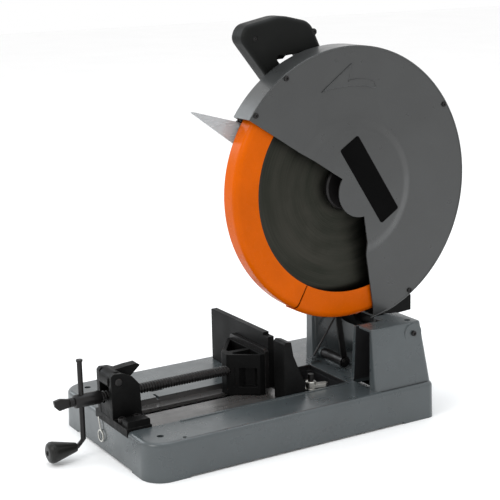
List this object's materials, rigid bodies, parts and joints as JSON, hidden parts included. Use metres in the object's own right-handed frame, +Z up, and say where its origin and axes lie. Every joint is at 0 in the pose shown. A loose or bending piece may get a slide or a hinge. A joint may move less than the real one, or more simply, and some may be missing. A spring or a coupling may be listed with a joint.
{
  "type": "metal-cutting chop saw",
  "caption": "Bench chop saw with a toothed disc under a two-part guard, an overhead D handle, a side motor and a cast base with a screw vise and fence.",
  "frame": {"origin": "centre of the bench bolt pattern, on the underside of the base", "axes": "+X to the operator's right and along the blade's axle, +Y away from the operator, +Z up"},
  "size_m": [0.326, 0.6306, 0.5531],
  "materials": {
    "base_paint": "semi-gloss grey enamel over a slightly uneven casting",
    "guard_paint": "semi-gloss grey enamel over pressed sheet",
    "orange_paint": "gloss orange enamel",
    "black_paint": "semi-gloss black enamel",
    "cast_black": "dark, lightly oiled sand casting",
    "black_oxide": "black-oxide steel",
    "bright_steel": "turned steel",
    "blade_steel": "ground dark steel plate",
    "zinc_steel": "zinc-plated steel",
    "bronze": "sintered bronze",
    "cast_alloy": "die-cast alloy",
    "windings": "laminated core with varnished copper windings",
    "black_plastic": "fine-textured black moulding",
    "grip_plastic": "smooth black moulding",
    "gland_rubber": "soft black rubber",
    "clear_plastic": "clear polycarbonate"
  },
  "bodies": {
    "base": {"base_casting": "base_paint", "base_bolts": "black_oxide", "pivot_bushes": "bronze", "pivot_shaft": "bright_steel", "pivot_screw": "black_oxide", "return_spring": "bright_steel", "fence_plate": "black_paint", "fence_casting": "cast_black", "fence_end_block": "cast_black", "vise_bracket": "cast_black", "lever_pin": "black_oxide", "wire_clip": "zinc_steel", "link_stud": "black_oxide"},
    "head": {"gearbox_housing": "cast_alloy", "gearbox_cover": "cast_alloy", "motor_housing": "black_plastic", "motor_end_cap": "black_plastic", "stator": "windings", "brush_sets": "black_plastic", "ball_bearings": "bright_steel", "layshaft_bushes": "bronze", "swing_arm": "black_paint", "head_screws": "black_oxide", "guard_housing": "guard_paint", "guard_cover": "guard_paint", "cover_screws": "black_oxide", "badge_plate": "black_plastic", "guard_ring_clip": "black_oxide", "guard_heel": "orange_paint", "handle_shell_near": "black_plastic", "handle_shell_far": "black_plastic", "switch_body": "black_plastic", "chip_shield": "clear_plastic", "shield_bracket": "black_oxide", "cable_inlet": "gland_rubber"},
    "blade_assembly": {"spindle": "bright_steel", "spindle_gear": "bright_steel", "inner_flange": "black_oxide", "outer_flange": "black_oxide", "arbor_bolt": "black_oxide", "blade": "blade_steel"},
    "layshaft_assembly": {"layshaft": "bright_steel", "layshaft_wheel": "bright_steel"},
    "armature": {"armature_shaft": "bright_steel", "armature_core": "windings", "cooling_fan": "black_plastic"},
    "moving_guard": {"lower_guard": "orange_paint", "guard_carrier": "black_oxide"},
    "guard_link_bar": {"guard_link": "black_oxide"},
    "switch_trigger": {"trigger": "grip_plastic"},
    "vise_jaw": {"jaw_body": "cast_black", "jaw_plate": "black_oxide", "screw_collar": "black_oxide"},
    "vise_spindle": {"vise_screw": "black_oxide", "crank_rod": "black_oxide", "wing_screw": "black_oxide"},
    "crank_handle": {"crank_grip": "grip_plastic"},
    "quick_release": {"release_lever": "cast_black", "half_nut": "black_oxide"},
    "fence_clamp": {"fence_clamp_lever": "zinc_steel"}
  },
  "joints": [
    {"name": "head_swing", "type": "hinge", "parent": "base", "child": "head", "pos_m": [0, 0.1913, 0.1225], "axis": [1, 0, 0], "range_deg": [0, 45.4], "stiffness_Nm_per_rad": 16, "springref_deg": -77.35},
    {"name": "guard_swing", "type": "hinge", "parent": "head", "child": "moving_guard", "pos_m": [0, 0.1347, 0.3215], "axis": [1, 0, 0], "range_deg": [-81.82, 0.2]},
    {"name": "link_swing", "type": "hinge", "parent": "base", "child": "guard_link_bar", "pos_m": [0, 0.15, 0.0608], "axis": [1, 0, 0], "range_deg": [-0.2, 43.07]},
    {"name": "blade_spin", "type": "hinge", "parent": "head", "child": "blade_assembly", "pos_m": [0, 0.1347, 0.3215], "axis": [1, 0, 0], "continuous": true},
    {"name": "layshaft_spin", "type": "hinge", "parent": "head", "child": "layshaft_assembly", "pos_m": [0, 0.16831, 0.33636], "axis": [1, 0, 0], "continuous": true},
    {"name": "armature_spin", "type": "hinge", "parent": "head", "child": "armature", "pos_m": [0, 0.1407, 0.3535], "axis": [1, 0, 0], "continuous": true},
    {"name": "trigger_press", "type": "slide", "parent": "head", "child": "switch_trigger", "axis": [0, 0, 1], "range_m": [0, 0.006], "stiffness_N_per_m": 500, "springref_m": -0.004},
    {"name": "jaw_slide", "type": "slide", "parent": "base", "child": "vise_jaw", "axis": [0, -1, 0], "range_m": [0, 0.115]},
    {"name": "screw_spin", "type": "hinge", "parent": "vise_jaw", "child": "vise_spindle", "pos_m": [0.005, -0.2515, 0.0785], "axis": [0, -1, 0], "range_deg": [-1, 10351]},
    {"name": "grip_spin", "type": "hinge", "parent": "vise_spindle", "child": "crank_handle", "pos_m": [0.005, -0.28, 0.017], "axis": [0, 1, 0], "continuous": true},
    {"name": "lever_lift", "type": "hinge", "parent": "base", "child": "quick_release", "pos_m": [0.005, -0.211, 0.1035], "axis": [1, 0, 0], "range_deg": [0, 35]},
    {"name": "fence_clamp_turn", "type": "hinge", "parent": "base", "child": "fence_clamp", "pos_m": [0.0666, 0.062, 0.05], "axis": [0, 0, -1], "range_deg": [0, 80]}
  ],
  "couplings": [
    {"joint": "guard_swing", "follows": "head_swing", "ratio": -1.8},
    {"joint": "link_swing", "follows": "head_swing", "ratio": 0.9465},
    {"joint": "layshaft_spin", "follows": "blade_spin", "ratio": -3.4545},
    {"joint": "armature_spin", "follows": "blade_spin", "ratio": 14.509},
    {"joint": "screw_spin", "follows": "jaw_slide", "rad_per_m": 1570.8}
  ]
}
